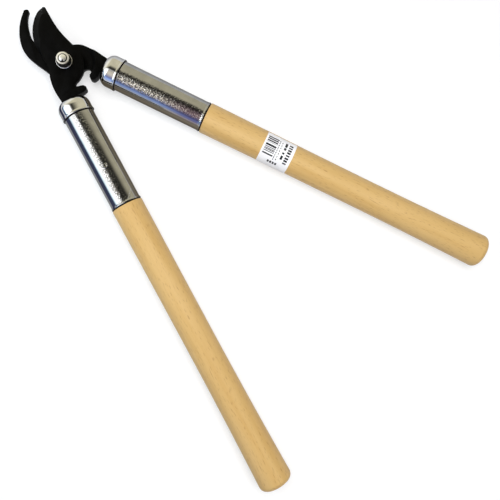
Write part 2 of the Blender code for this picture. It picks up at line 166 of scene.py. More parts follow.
PIVOT = Vector(frame["joints"][0]["pos_m"])
UP, ACROSS = Vector((0, 0, 1)), Vector((1, 0, 0))

# Sizes in mm. Heights are from the pivot's middle, between the two forgings.
WASHER_RADIUS, WASHER_BORE, WASHER_THICKNESS = 8.0, 4.3, 1.6
WASHER_EDGE, BORE_CHAMFER = 0.45, 0.2
UPPER_WASHER, LOWER_WASHER = 5.45, -7.05
HEXAGON_FLATS = 13.0
CROWN_FLAT, CROWN_CLEAR, CROWN_CONE = 0.48, 0.6, 0.07    # shares of the flats
NUT_BOTTOM, NUT_TOP, NUT_TURN = 7.35, 13.95, 43.0
NUT_BORE, LOWER_SINK, UPPER_SINK = 4.1, 0.9, 0.4
HEAD_BOTTOM, HEAD_TOP, HEAD_TURN = -12.65, -7.35, 0.0
BOLT_RADIUS, BOLT_TOP, SHANK_IN_HEAD = 4.0, 15.55, 2.0
BOLT_DOME = ((0.0, 0.0), (0.06, 1.2), (0.25, 2.3), (0.6, 3.1), (0.95, 3.5))    # below the top, radius
THREAD_DEPTH, THREAD_PITCH, CREST_WIDTH, FIRST_CREST = 0.5, 1.25, 0.15, 1.3
MARK_PLACE, MARK_TURN = (-2.1, -1.97, BOLT_TOP - 0.1), -46.7
MARK_TIP, MARK_MOUTH, MARK_DEPTH = 0.9, 2.4, 2.4
CLEAR = 1.0                        # how far a cutter stands out of what it cuts
TURNED_WELD = 0.002
CRYSTAL, HANDLED_PATCH, SHADE_BLOT = 0.625, 3.846, 1.429
CRYSTAL_DEPTH = 0.06
UNSHADED_RIM, UNSHADED_DOME = 1.6, 0.9   # zinc without painted shade on a washer's rim and below the bolt's top
# painted shade reaches this far out from the nut's bore, and this far round the chisel mark
SHADE_ROUND_BORE, MARK_REACH = 0.3, 2.9
LEVEL, STEEP = 0.9, 0.5            # a face's upward share, above which it is level, below which steep
SMOOTH_TURN = 32                   # degrees


def turned_piece(name, profile, foot, along, outward, steps=96, closed=False):
    """Traces (distance along, radius) points in mm beside an axis and spins them round it."""
    points = [foot + along * (at * MM) + outward * (radius * MM) for at, radius in profile]
    if closed:
        points.append(points[0])
    bpy.ops.object.select_all(action="DESELECT")
    bpy.ops.mesh.primitive_plane_add(size=MM, location=(0, 0, 0))
    piece = bpy.context.object
    piece.name = piece.data.name = name
    bpy.ops.object.mode_set(mode="EDIT")
    bpy.ops.mesh.merge(type="CENTER")
    bpy.ops.transform.translate(value=points[0])
    for here, there in zip(points, points[1:]):
        bpy.ops.mesh.extrude_vertices_move(TRANSFORM_OT_translate={"value": there - here})
    bpy.ops.mesh.select_all(action="SELECT")
    bpy.ops.mesh.remove_doubles(threshold=TURNED_WELD * MM)
    bpy.ops.mesh.spin(steps=steps, angle=2 * math.pi, center=foot, axis=along)
    bpy.ops.mesh.select_all(action="SELECT")
    bpy.ops.mesh.remove_doubles(threshold=TURNED_WELD * MM)
    bpy.ops.mesh.normals_make_consistent(inside=False)
    bpy.ops.object.mode_set(mode="OBJECT")
    return piece


def arc(at, radius, size, start, end, steps):
    """Profile points round a corner; 0 degrees points outward and 90 along the axis."""
    angles = [math.radians(start + (end - start) * step / steps) for step in range(steps + 1)]
    return [(at + size * math.sin(angle), radius + size * math.cos(angle)) for angle in angles]


def boolean(piece, other, operation):
    """Cuts, joins or trims a piece with another, which is then thrown away."""
    modifier = piece.modifiers.new("cut", "BOOLEAN")
    modifier.operation, modifier.object, modifier.solver = operation, other, "EXACT"
    bpy.context.view_layer.objects.active = piece
    bpy.ops.object.modifier_apply(modifier=modifier.name)
    bpy.data.objects.remove(other)


def hexagon(name, bottom, top, turn):
    """A hexagon with coned corners, on the pivot axis, from a bottom to a top height in mm."""
    bpy.ops.object.select_all(action="DESELECT")
    bpy.ops.mesh.primitive_cylinder_add(
        vertices=6, radius=HEXAGON_FLATS / math.sqrt(3) * MM, depth=(top - bottom) * MM,
        location=PIVOT + UP * ((top + bottom) / 2 * MM), rotation=(0, 0, math.radians(turn)))
    piece = bpy.context.object
    piece.name = piece.data.name = name
    bpy.ops.object.transform_apply(location=True, rotation=True, scale=True)
    inner, outer, cone = [HEXAGON_FLATS * share for share in (CROWN_FLAT, CROWN_CLEAR, CROWN_CONE)]
    crown = [(bottom, 0.0), (bottom, inner), (bottom + cone, outer),
             (top - cone, outer), (top, inner), (top, 0.0)]
    boolean(piece, turned_piece("crown", crown, PIVOT, UP, ACROSS), "INTERSECT")
    return piece


def coat(piece, *materials):
    """Gives a piece its materials in order, in place of those it has."""
    piece.data.materials.clear()
    for material in materials:
        piece.data.materials.append(material)


def faces_on_axis(piece, foot, along):
    """Each face of a piece, with its distance along an axis and out from it, in mm."""
    found = []
    for face in piece.data.polygons:
        offset = face.center - foot
        at = offset.dot(along)
        found.append((face, at / MM, (offset - along * at).length / MM))
    return found


# Bright zinc plating on steel, passivated clear. The eye sees a pale slightly warm metal with soft
# reflections, a fine crystalline grain of about 0.6 mm, and duller patches where it was handled.
zinc, shader = new_material("bright_zinc_plated_steel", Metallic=1.0)
place = add_node(zinc, "TexCoord").outputs["Object"]
crystal = add_node(zinc, "TexNoise", {"Vector": place, "Scale": 1 / (CRYSTAL * MM), "Detail": 2.0})
handling = add_node(zinc, "TexNoise", {
    "Vector": place, "Scale": 1 / (HANDLED_PATCH * MM), "Detail": 3.0}).outputs["Fac"]
tone = add_node(zinc, "ValToRGB", {"Fac": handling}, [(0.3, "DEDDDA"), (0.7, "F6F5F2")])
gloss = add_node(zinc, "MapRange", {
    "Value": handling, "From Min": 0.3, "From Max": 0.7, "To Min": 0.42, "To Max": 0.55})
grain = add_node(zinc, "Bump", {
    "Height": crystal.outputs["Fac"], "Strength": 0.15, "Distance": CRYSTAL_DEPTH * MM})
link(zinc, shader, {"Base Color": tone.outputs["Color"], "Roughness": gloss.outputs["Result"],
                    "Normal": grain.outputs["Normal"]})

# The same zinc painted almost black as shade: on the nut's flats and corners and round its bore, the thread,
# the chisel mark and the washers' faces inside their rims. The eye sees an almost black film with a slight
# shine.
painted_shade_zinc, shader = new_material("zinc_with_painted_shade", Metallic=0.4, Roughness=0.4, Specular_IOR_Level=0.25)
place = add_node(painted_shade_zinc, "TexCoord").outputs["Object"]
shade_blots = add_node(painted_shade_zinc, "TexNoise", {"Vector": place, "Scale": 1 / (SHADE_BLOT * MM), "Detail": 3.0})
tone = add_node(painted_shade_zinc, "ValToRGB", {"Fac": shade_blots.outputs["Fac"]}, [(0.35, "0A0A0A"), (0.75, "2C2B29")])
link(painted_shade_zinc, shader, {"Base Color": tone.outputs["Color"]})

washer_profile = arc(WASHER_THICKNESS - WASHER_EDGE, WASHER_RADIUS - WASHER_EDGE, WASHER_EDGE, 0, 90, 4)
washer_profile += [(WASHER_THICKNESS, WASHER_BORE + BORE_CHAMFER),
                   (WASHER_THICKNESS - BORE_CHAMFER, WASHER_BORE),
                   (BORE_CHAMFER, WASHER_BORE), (0.0, WASHER_BORE + BORE_CHAMFER)]
washer_profile += arc(WASHER_EDGE, WASHER_RADIUS - WASHER_EDGE, WASHER_EDGE, -90, 0, 4)
upper_washer = turned_piece("washer_under_nut", washer_profile, PIVOT + UP * (UPPER_WASHER * MM), UP, ACROSS,
                            closed=True)
pick(upper_washer)
bpy.ops.object.duplicate()
lower_washer = bpy.context.object
lower_washer.name = lower_washer.data.name = "washer_under_head"
bpy.ops.transform.translate(value=(0, 0, (LOWER_WASHER - UPPER_WASHER) * MM))
bpy.ops.object.transform_apply(location=True, rotation=False, scale=False)

nut = hexagon("pivot_nut_m8", NUT_BOTTOM, NUT_TOP, NUT_TURN)
nut_bore = [(NUT_BOTTOM - CLEAR, 0.0), (NUT_BOTTOM - CLEAR, NUT_BORE + LOWER_SINK + CLEAR),
            (NUT_BOTTOM + LOWER_SINK, NUT_BORE), (NUT_TOP - UPPER_SINK, NUT_BORE),
            (NUT_TOP + CLEAR, NUT_BORE + UPPER_SINK + CLEAR), (NUT_TOP + CLEAR, 0.0)]
boolean(nut, turned_piece("nut_bore", nut_bore, PIVOT, UP, ACROSS), "DIFFERENCE")

bolt_profile = [(BOLT_TOP - depth, radius) for depth, radius in BOLT_DOME]
crest = BOLT_TOP - FIRST_CREST
while crest > NUT_BOTTOM:
    bolt_profile += [(crest, BOLT_RADIUS), (crest - CREST_WIDTH, BOLT_RADIUS),
                     (crest - THREAD_PITCH / 2, BOLT_RADIUS - THREAD_DEPTH)]
    crest -= THREAD_PITCH
shank_end = HEAD_TOP - SHANK_IN_HEAD
bolt_profile += [(crest, BOLT_RADIUS), (shank_end, BOLT_RADIUS), (shank_end, 0.0)]
bolt = turned_piece("pivot_bolt_m8", bolt_profile, PIVOT, UP, ACROSS)
boolean(bolt, hexagon("bolt_head", HEAD_BOTTOM, HEAD_TOP, HEAD_TURN), "UNION")

# The chisel mark is a small pyramid pressed into the bolt's end, on the side towards the butts.
mark_at = PIVOT + Vector(MARK_PLACE) * MM
bpy.ops.object.select_all(action="DESELECT")
bpy.ops.mesh.primitive_cone_add(vertices=3, radius1=MARK_TIP * MM, radius2=MARK_MOUTH * MM,
                                depth=MARK_DEPTH * MM, location=mark_at,
                                rotation=(0, 0, math.radians(MARK_TURN)))
bpy.ops.object.transform_apply(location=True, rotation=True, scale=True)
boolean(bolt, bpy.context.object, "DIFFERENCE")

for piece, node in ((bolt, "pivot_bolt"), (nut, "pivot_nut"), (upper_washer, "nut_washer"),
                    (lower_washer, "head_washer")):
    coat(piece, zinc, painted_shade_zinc)
    # Painted shade: the faces that lie in shade get the zinc that is painted almost black.
    for face, height, out in faces_on_axis(piece, PIVOT, UP):
        upward = abs(face.normal.z)
        if piece is nut:
            in_painted_shade = upward < LEVEL or out < BOLT_RADIUS + SHADE_ROUND_BORE
        elif piece is bolt:
            in_mark = upward < STEEP and (face.center - mark_at).length < MARK_REACH * MM
            in_painted_shade = in_mark or HEAD_TOP < height < BOLT_TOP - UNSHADED_DOME
        else:
            in_painted_shade = out < WASHER_RADIUS - UNSHADED_RIM
        face.material_index = int(in_painted_shade)
    smooth(piece, SMOOTH_TURN)
    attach(piece, "hook_half")
    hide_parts(node)


# The ferrules
# Each handle ends in a plated steel tube, rolled up and slightly flared over the wood, and a drawn cap
# pushed over the tube's front end, slotted for the forging's tang. The left tube is 6 mm the longer.

# Sizes in mm. Distances run along a handle's axis, from beside the pivot to the butt.
SIDES = ((-1, "left", "blade_half"), (1, "right", "hook_half"))
HALF_SPREAD = math.radians(18.3)
AXIS_OFFSET = 13.0
TUBE_FRONT, TUBE_RADIUS, TUBE_WALL = 45.7, 15.45, 1.0
TUBE_END = {-1: 155.2, 1: 149.1}
LIP_FLARE, LIP_LENGTH = 0.6, 2.5
REAR_RING = 14.0                   # a ring of corners this far from the end keeps the seam's faces short
CAP_FRONT, CAP_BACK, CAP_RADIUS, CAP_WALL, CAP_ROUNDING = 36.4, 53.9, 16.5, 0.75, 9.0
RIM_FLARE, RIM_LENGTH = 0.4, 2.5
ROLLED_EDGE, FLARE_TOP, INNER_CHAMFER = 0.35, 0.6, 0.1
GROOVE_FRONT, GROOVE_BACK, GROOVE_DEPTH = -0.2, 1.25, 0.4    # the first two from the cap's back
FRONT_WALL, BACK_WALL = 0.1, 0.15                            # the slopes of the groove's two walls
SLOT_AT, SLOT_LENGTH, SLOT_WIDTH, SLOT_HEIGHT = 45.0, 30.0, 12.6, 7.6
SEAM = ((143.5, 47.5), (149.0, 30.0), (154.0, 12.0))         # mm along, degrees from the top
SEAM_RADIUS = 0.5
# painted shade on the tube's end face and the cap's back edge, this deep
END_SHADE = 0.12
PEEL, CLOUD, SCUFF, SHADE_SPECK = 1.613, 9.091, 1.25, 1.111
PEEL_DEPTH, PEEL_ELSEWHERE = 0.4, 0.012

# Patches on the plating. Each fade has an axis, where the patch is nothing, and where it is full, in mm:
# X runs across a handle to the right, Y up it to the jaws, and Z up.
WORN_BAND = {-1: (("X", -7.5, -3.0), ("X", 5.5, 1.0), ("Z", 0.0, 8.0)),
             1: (("X", -10.5, -8.0), ("X", 3.0, -2.0), ("Z", 0.0, 8.0))}
# Painted reflections: dark patches laid on the plating's flanks, in place of what the flanks would mirror.
BROWN, BLUISH, PURPLE = "6E675B", "353749", "6C5668"
PAINTED_FLANK_REFLECTIONS = {-1: ((BROWN, 1.0, (("X", -6.0, -4.0), ("Z", 11.1, 9.7))),
               (BLUISH, 1.0, (("X", -6.0, -8.0), ("Z", 11.5, 10.9), ("Z", 7.4, 8.4)))),
          1: ((BROWN, 1.0, (("X", 6.0, 4.0), ("Z", 9.3, 7.6))),
              (PURPLE, 0.72, (("X", -14.2, -11.6), ("X", 0.5, -2.0),
                              ("Y", -95.0, -140.0), ("Y", -147.5, -145.0))))}
TUBE_TONES, CAP_TONES = ("969696", "A0A0A0"), ("B8B8B8", "C5C5C5")
TUBE_WEAR = {-1: (0.6, 0.6), 1: (0.9, 0.95)}    # shares of peel and of scuffs
CAP_WEAR = (0.04, 0.0)


def handle_axis(side):
    """The point beside the pivot where a handle's axis starts, and the axis's direction to its butt."""
    out = Vector((side * math.cos(HALF_SPREAD), math.sin(HALF_SPREAD), 0))
    along = Vector((side * math.sin(HALF_SPREAD), -math.cos(HALF_SPREAD), 0))
    return PIVOT + out * (AXIS_OFFSET * MM), along


def handle_place(material, side):
    """Object coordinates in mm, turned on a handle: Y runs up it to the jaws, Z up, X to the right."""
    place = add_node(material, "TexCoord")
    turned = add_node(material, "Mapping", {
        "Vector": place.outputs["Object"], "Location": handle_axis(side)[0],
        "Rotation": (0, 0, side * HALF_SPREAD), "Scale": (MM, MM, MM)}, vector_type="TEXTURE")
    return turned.outputs["Vector"]


def patch(material, axes, strength, fades):
    """A share that has its strength inside a patch, and fades out smoothly at the patch's edges."""
    share = strength
    for axis, nothing, full in fades:
        fade = add_node(material, "MapRange", {
            "Value": axes[axis], "From Min": nothing, "From Max": full}, interpolation_type="SMOOTHSTEP")
        faded = add_node(material, "Math", {0: share, 1: fade.outputs["Result"]}, operation="MULTIPLY")
        share = faded.outputs["Value"]
    return share


def plated_steel(side, piece_name, tones, wear):
    # Bright nickel-toned plating on rolled steel. The eye sees a near mirror, with slow clouds of 9 mm. A
    # band on top is worn by hands: it has an orange peel and scuffs, both drawn as coarse as they need to
    # show. Dark reflections are painted on the flanks beside it: brown where the handles face, bluish on
    # the left and purple on the right.
    plating, shader = new_material("bright_plated_" + piece_name, Metallic=1.0,
                                   Specular_Tint=linear("9A9A9A"))
    place = handle_place(plating, side)
    axes = add_node(plating, "SeparateXYZ", {"Vector": place}).outputs
    peel_share, scuff_share = wear
    worn = patch(plating, axes, 1.0, WORN_BAND[side])
    peel = add_node(plating, "TexNoise", {"Vector": place, "Scale": 1 / PEEL, "Detail": 2.0})
    strength = add_node(plating, "MapRange", {"Value": worn, "To Min": PEEL_ELSEWHERE, "To Max": peel_share})
    bump = add_node(plating, "Bump", {"Height": peel.outputs["Fac"], "Strength": strength.outputs["Result"],
                                      "Distance": PEEL_DEPTH * MM})
    cloud = add_node(plating, "TexNoise", {
        "Vector": place, "Scale": 1 / CLOUD, "Detail": 3.0}).outputs["Fac"]
    dull, bright = tones
    tone = add_node(plating, "ValToRGB", {"Fac": cloud}, [(0.3, dull), (0.7, bright)])
    scuffs = add_node(plating, "TexNoise", {"Vector": place, "Scale": 1 / SCUFF, "Detail": 1.0})
    scuffed = add_node(plating, "ValToRGB", {"Fac": scuffs.outputs["Fac"]},
                       [(0.38, "484848"), (0.5, dull), (0.62, "E4E4E4")])
    scuffing = add_node(plating, "Math", {0: worn, 1: scuff_share}, operation="MULTIPLY")
    colour = add_node(plating, "Mix", {0: scuffing.outputs["Value"], 6: tone.outputs["Color"],
                                       7: scuffed.outputs["Color"]}, data_type="RGBA").outputs[2]
    # The painted dark reflections go over the plating's own colour.
    for painted_reflection, strongest, fades in PAINTED_FLANK_REFLECTIONS[side]:
        share = patch(plating, axes, strongest, fades)
        colour = add_node(plating, "Mix", {0: share, 6: colour, 7: linear(painted_reflection)},
                          data_type="RGBA").outputs[2]
    gloss = add_node(plating, "MapRange", {
        "Value": cloud, "From Min": 0.3, "From Max": 0.7, "To Min": 0.07, "To Max": 0.12})
    link(plating, shader, {"Base Color": colour, "Roughness": gloss.outputs["Result"],
                           "Normal": bump.outputs["Normal"]})
    return plating


def flare(start, end, first_radius, last_radius, steps=6):
    """Profile points on a smooth S from just past its start to its end."""
    points = []
    for step in range(1, steps + 1):
        share = step / steps
        rise = share * share * (3 - 2 * share)
        points.append((start + share * (end - start), first_radius + rise * (last_radius - first_radius)))
    return points


# Shade painted into the joints, with faint specks in it: behind each cap and each tube, on the turned step
# before the wood and round the nail heads. The eye sees a matt brown-black line behind each cap and each
# tube.
joint_painted_shade, shader = new_material("joint_painted_shade", Roughness=0.9, Specular_IOR_Level=0.1)
place = add_node(joint_painted_shade, "TexCoord").outputs["Object"]
shade_specks = add_node(joint_painted_shade, "TexNoise", {"Vector": place, "Scale": 1 / (SHADE_SPECK * MM)})
tone = add_node(joint_painted_shade, "ValToRGB", {"Fac": shade_specks.outputs["Fac"]}, [(0.35, "050504"), (0.75, "1A1612")])
link(joint_painted_shade, shader, {"Base Color": tone.outputs["Color"]})

tube_plating = {}
for side, side_name, body in SIDES:
    foot, along = handle_axis(side)
    end = TUBE_END[side]
    inner, lip = TUBE_RADIUS - TUBE_WALL, TUBE_RADIUS + LIP_FLARE
    groove_front, groove_back = CAP_BACK + GROOVE_FRONT, CAP_BACK + GROOVE_BACK
    groove_floor = TUBE_RADIUS - GROOVE_DEPTH
    tube_profile = [(TUBE_FRONT, inner), (TUBE_FRONT, TUBE_RADIUS), (groove_front, TUBE_RADIUS),
                    (groove_front + FRONT_WALL, groove_floor), (groove_back - BACK_WALL, groove_floor),
                    (groove_back, TUBE_RADIUS), (end - REAR_RING, TUBE_RADIUS),
                    (end - LIP_LENGTH, TUBE_RADIUS)]
    tube_profile += flare(end - LIP_LENGTH, end - FLARE_TOP, TUBE_RADIUS, lip)
    tube_profile += arc(end - ROLLED_EDGE, lip - ROLLED_EDGE, ROLLED_EDGE, 0, 90, 4)
    tube_profile += [(end, inner + INNER_CHAMFER), (end - INNER_CHAMFER, inner)]
    tube = turned_piece("ferrule_tube_" + side_name, tube_profile, foot, along, UP, closed=True)
    if side < 0:
        # The left tube's lapped seam shows near its rear end as a thin bead that runs aslant round it.
        inward = Vector((math.cos(HALF_SPREAD), -math.sin(HALF_SPREAD), 0))
        bead = []
        for at, turn in SEAM:
            up_from_axis = inward * math.sin(math.radians(turn)) + UP * math.cos(math.radians(turn))
            bead.append(foot + along * (at * MM) + up_from_axis * (TUBE_RADIUS * MM))
        for here, there in zip(bead, bead[1:]):
            bpy.ops.object.select_all(action="DESELECT")
            bpy.ops.mesh.primitive_cylinder_add(
                vertices=12, radius=SEAM_RADIUS * MM, depth=(there - here).length + SEAM_RADIUS * MM,
                location=(here + there) / 2, rotation=(there - here).to_track_quat("Z", "Y").to_euler())
            bpy.ops.object.transform_apply(location=True, rotation=True, scale=True)
            boolean(tube, bpy.context.object, "UNION")

    rim = CAP_RADIUS + RIM_FLARE
    corner = (CAP_FRONT + CAP_ROUNDING, CAP_RADIUS - CAP_ROUNDING)
    cap_profile = [(CAP_FRONT + CAP_WALL, 0.0)] + arc(*corner, CAP_ROUNDING - CAP_WALL, -90, 0, 12)
    cap_profile += [(CAP_BACK, CAP_RADIUS - CAP_WALL)]
    cap_profile += arc(CAP_BACK - ROLLED_EDGE, rim - ROLLED_EDGE, ROLLED_EDGE, 90, 0, 4)
    cap_profile += flare(CAP_BACK - FLARE_TOP, CAP_BACK - RIM_LENGTH, rim, CAP_RADIUS)
    cap_profile += arc(*corner, CAP_ROUNDING, 0, -90, 12) + [(CAP_FRONT, 0.0)]
    cap = turned_piece("ferrule_cap_" + side_name + "_drawn", cap_profile, foot, along, UP)
    bpy.ops.object.select_all(action="DESELECT")
    bpy.ops.mesh.primitive_cube_add(
        size=1, location=foot + along * (SLOT_AT * MM), rotation=(0, 0, side * HALF_SPREAD),
        scale=(SLOT_WIDTH * MM, SLOT_LENGTH * MM, SLOT_HEIGHT * MM))
    bpy.ops.object.transform_apply(location=True, rotation=True, scale=True)
    boolean(cap, bpy.context.object, "DIFFERENCE")

    tube_plating[side] = plated_steel(side, tube.name, TUBE_TONES, TUBE_WEAR[side])
    cap_plating = plated_steel(side, cap.name, CAP_TONES, CAP_WEAR)
    for piece, node, plating in ((tube, "ferrule_" + side_name, tube_plating[side]),
                                 (cap, "ferrule_cap_" + side_name, cap_plating)):
        coat(piece, plating, joint_painted_shade)
        # Painted shade: the groove behind the cap, the tube's end face and the cap's back edge get the dark
        # joint colour.
        for face, at, out in faces_on_axis(piece, foot, along):
            if piece is tube:
                gets_joint_shade = groove_front < at < groove_back or at > end - END_SHADE
            else:
                gets_joint_shade = at > CAP_BACK - END_SHADE and out < CAP_RADIUS
            face.material_index = int(gets_joint_shade)
        smooth(piece, SMOOTH_TURN)
        # In the photo neither handle shows in the other one's plating, so reflections pass all of it by.
        piece.visible_glossy = False
        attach(piece, body)
        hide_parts(node)


# The ferrule nails
# One plain wire nail goes through each ferrule, the wood and the tang, to hold them together. It is
# plated with the tube and has a low dished head. The left nail's head is on top, the right one's below.

NAIL_AT, NAIL_RADIUS, NAIL_LENGTH, NAIL_POINT = 114.2, 2.0, 26.0, 2.5
NAIL_HEAD_RADIUS, NAIL_SEAT, HEAD_SHADE = 2.7, 15.6, 0.9
NAIL_HEAD = ((0.42, 0.0), (0.45, 0.3), (0.58, 0.52), (0.7, 0.68), (0.66, 0.82), (0.45, 0.93),
             (0.12, 0.99), (0.1, 1.0), (0.0, 1.0))    # mm above the seat, share of the head's radius

for side, side_name, body in SIDES:
    foot, along = handle_axis(side)
    nail_foot = foot + along * (NAIL_AT * MM)
    nail_profile = [(NAIL_SEAT + rise, NAIL_HEAD_RADIUS * share) for rise, share in NAIL_HEAD]
    nail_profile += [(NAIL_SEAT, NAIL_RADIUS), (NAIL_SEAT - NAIL_LENGTH + NAIL_POINT, NAIL_RADIUS),
                     (NAIL_SEAT - NAIL_LENGTH, 0.0)]
    nail = turned_piece("ferrule_nail_" + side_name, nail_profile, nail_foot, UP * -side, ACROSS, steps=48)
    coat(nail, tube_plating[side], joint_painted_shade)
    for face, height, out in faces_on_axis(nail, nail_foot, UP):
        # Painted shade round the nail head's rim, where it meets the tube.
        face.material_index = int(out > NAIL_HEAD_RADIUS * HEAD_SHADE)
    smooth(nail, SMOOTH_TURN)
    nail.visible_glossy = False
    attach(nail, body)
    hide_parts("ferrule_pin_" + side_name)


# The handles
# Two beech handles, turned between centres: a spigot inside the ferrule, a slight waist, a swell to the
# hand end and a rounded butt. They are sanded along the grain and have one coat of clear varnish.

SWELL_START, SWELL_END, HANDLE_END = 155.2, 471.0, 477.0
WOOD_START, WOOD_WAIST, WOOD_BUTT, WAIST_AT = 16.2, 15.9, 17.7, 0.49
SHOULDER_ROUNDING, BUTT_ROUNDING, SPIGOT = 0.8, 6.0, 14.15
WOOD_GAP = 0.3                     # between the tube's end and the wood
JOINT_WIDTH = 0.7                  # the step that was turned for the tube's lip, painted dark as shade
UNSHADED_END, SHOULDER_SHADE = 1.0, 0.3
WOOD_RINGS = 40

# Each pattern of the grain has its sizes in mm across, along and up the handle, a shift and a detail.
GRAIN = (("bands", (11.11, 142.9, 11.11), (3.7, 1.3, 0.4), 3.0),
         ("lines", (1.923, 111.1, 3.333), (1.9, 0.2, 0.8), 2.0),
         ("flecks", (0.7692, 5.882, 0.7692), (0.0, 0.0, 0.0), 0.0))
PORE_DEPTH = 0.2


def wood_radius(at):
    """The turned wood's radius in mm, at a distance in mm along the handle."""
    share = (at - SWELL_START) / (SWELL_END - SWELL_START)
    if share < WAIST_AT:
        return WOOD_WAIST + (WOOD_START - WOOD_WAIST) * (1 - share / WAIST_AT) ** 2
    return WOOD_WAIST + (WOOD_BUTT - WOOD_WAIST) * ((share - WAIST_AT) / (1 - WAIST_AT)) ** 2


def varnished_beech(side, side_name):
    # Steamed beech, turned and varnished. The eye sees a warm pale straw colour in slow bands along the
    # grain, faint growth lines about 4 mm apart and the short dark flecks of beech, 3 mm by 0.4 mm.
    beech, shader = new_material("varnished_beech_" + side_name, Specular_IOR_Level=0.25, Coat_Weight=0.05,
                                 Coat_Roughness=0.3)
    place = handle_place(beech, side)
    grain = {}
    for name, sizes, (shift_across, shift_along, shift_up), detail in GRAIN:
        stretched = add_node(beech, "Mapping", {
            "Vector": place, "Scale": [1 / size for size in sizes],
            "Location": (shift_across * side, shift_along, shift_up)})
        noise = add_node(beech, "TexNoise", {
            "Vector": stretched.outputs["Vector"], "Scale": 1.0, "Detail": detail})
        grain[name] = noise.outputs["Fac"]
    colour = add_node(beech, "ValToRGB", {"Fac": grain["bands"]},
                      [(0.3, "C7A061"), (0.5, "CFAB6E"), (0.72, "D4B177")]).outputs["Color"]
    for name, faint, full, strength, darker in (("lines", 0.56, 0.78, 0.35, "BC9454"),
                                                ("flecks", 0.65, 0.8, 0.45, "9A6F3E")):
        share = add_node(beech, "MapRange", {
            "Value": grain[name], "From Min": faint, "From Max": full, "To Max": strength})
        colour = add_node(beech, "Mix", {0: share.outputs["Result"], 6: colour, 7: linear(darker)},
                          data_type="RGBA").outputs[2]
    pores = add_node(beech, "Bump", {
        "Height": grain["flecks"], "Strength": 0.06, "Distance": PORE_DEPTH * MM})
    gloss = add_node(beech, "MapRange", {
        "Value": grain["bands"], "From Min": 0.3, "From Max": 0.7, "To Min": 0.4, "To Max": 0.55})
    link(beech, shader, {"Base Color": colour, "Roughness": gloss.outputs["Result"],
                         "Normal": pores.outputs["Normal"]})
    return beech


for side, side_name, body in SIDES:
    foot, along = handle_axis(side)
    start = TUBE_END[side] + WOOD_GAP
    joint_end = start + JOINT_WIDTH
    shoulder, shoulder_end = WOOD_START - SHOULDER_ROUNDING, joint_end + SHOULDER_ROUNDING
    wood_profile = [(TUBE_FRONT, 0.0), (TUBE_FRONT, SPIGOT), (start, SPIGOT), (start, shoulder),
                    (joint_end, shoulder)]
    wood_profile += arc(shoulder_end, shoulder, SHOULDER_ROUNDING, -75, 0, 4)
    for step in range(1, WOOD_RINGS):
        at = shoulder_end + (SWELL_END - shoulder_end) * step / WOOD_RINGS
        wood_profile.append((at, wood_radius(at)))
    wood_profile += arc(SWELL_END, WOOD_BUTT - BUTT_ROUNDING, BUTT_ROUNDING, 0, 90, 10) + [(HANDLE_END, 0.0)]
    handle = turned_piece("turned_handle_" + side_name, wood_profile, foot, along, UP)
    coat(handle, varnished_beech(side, side_name), joint_painted_shade)
    for face, at, out in faces_on_axis(handle, foot, along):
        # Painted shade on the spigot and on the step behind the tube's lip.
        face.material_index = int(TUBE_FRONT + UNSHADED_END < at < joint_end + SHOULDER_SHADE)
    smooth(handle, SMOOTH_TURN)
    handle.visible_glossy = False
    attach(handle, body)
    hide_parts("handle_" + side_name)


# The paper label
# A white paper label is glued round most of the right handle's upper side, close behind its ferrule.
# It is printed in black with plain bars and dashes only.

LABEL_START, LABEL_END, LABEL_RADIUS = 215.3, 248.1, 16.1
LABEL_OUTER, LABEL_INNER = 55.0, 108.0    # degrees round from the top
LABEL_LIFT, LABEL_THICKNESS = 0.03, 0.2
LABEL_COLUMNS, LABEL_ROWS, LABEL_SMOOTH = 82, 116, 40
FIBRE, THIN_INK, FIBRE_DEPTH = 0.5, 1.111, 0.05

# What is printed, in mm from the ferrule end and from the outer edge round the label.
BARS_FROM, BARS_TO, BARS_START = 2.2, 13.6, 5.5
BARS = ((1.6, 0.8), (1.6, 0.8), (1.4, 0.8), (0.6, 1.4), (1.9, 0.9), (0.8, 0.7), (0.8, 0.7), (0.8, 0.7),
        (0.8, 1.3), (1.6, 0.0))           # each bar's width and the gap after it
DASH_ROWS = ((15.0, 15.8, 6.0, 1.8, 2.6, 9), (17.6, 18.4, 7.0, 1.6, 3.1, 7),
             (25.6, 29.8, 5.6, 1.9, 2.9, 8))    # from, to, first dash, its width, spacing and count
BLOCKS_FROM, BLOCKS_TO = 21.2, 23.8
BLOCKS = ((5.5, 10.5), (11.6, 14.2), (16.4, 18.4), (20.2, 24.6))
COLUMN_FROM, COLUMN_TO, COLUMN_START = 30.6, 33.4, 10.6
COLUMN_DASH, COLUMN_SPACING, COLUMN_COUNT = 1.8, 2.8, 4

foot, along = handle_axis(1)
outward = Vector((math.cos(HALF_SPREAD), math.sin(HALF_SPREAD), 0))
outer_angle = math.radians(LABEL_OUTER)
outer_edge = outward * math.sin(outer_angle) + UP * math.cos(outer_angle)
edge_points = []
for column in range(LABEL_COLUMNS + 1):
    at = LABEL_START + (LABEL_END - LABEL_START) * column / LABEL_COLUMNS
    edge_points.append(foot + along * (at * MM) + outer_edge * ((wood_radius(at) + LABEL_LIFT) * MM))
bpy.ops.object.select_all(action="DESELECT")
bpy.ops.mesh.primitive_plane_add(size=MM, location=(0, 0, 0))
label = bpy.context.object
label.name = label.data.name = "printed_label"
bpy.ops.object.mode_set(mode="EDIT")
bpy.ops.mesh.merge(type="CENTER")
bpy.ops.transform.translate(value=edge_points[0])
for here, there in zip(edge_points, edge_points[1:]):
    bpy.ops.mesh.extrude_vertices_move(TRANSFORM_OT_translate={"value": there - here})
bpy.ops.mesh.select_all(action="SELECT")
bpy.ops.mesh.spin(steps=LABEL_ROWS, angle=-math.radians(LABEL_OUTER + LABEL_INNER), center=foot, axis=along)
bpy.ops.mesh.select_all(action="SELECT")
bpy.ops.mesh.remove_doubles(threshold=TURNED_WELD * MM)
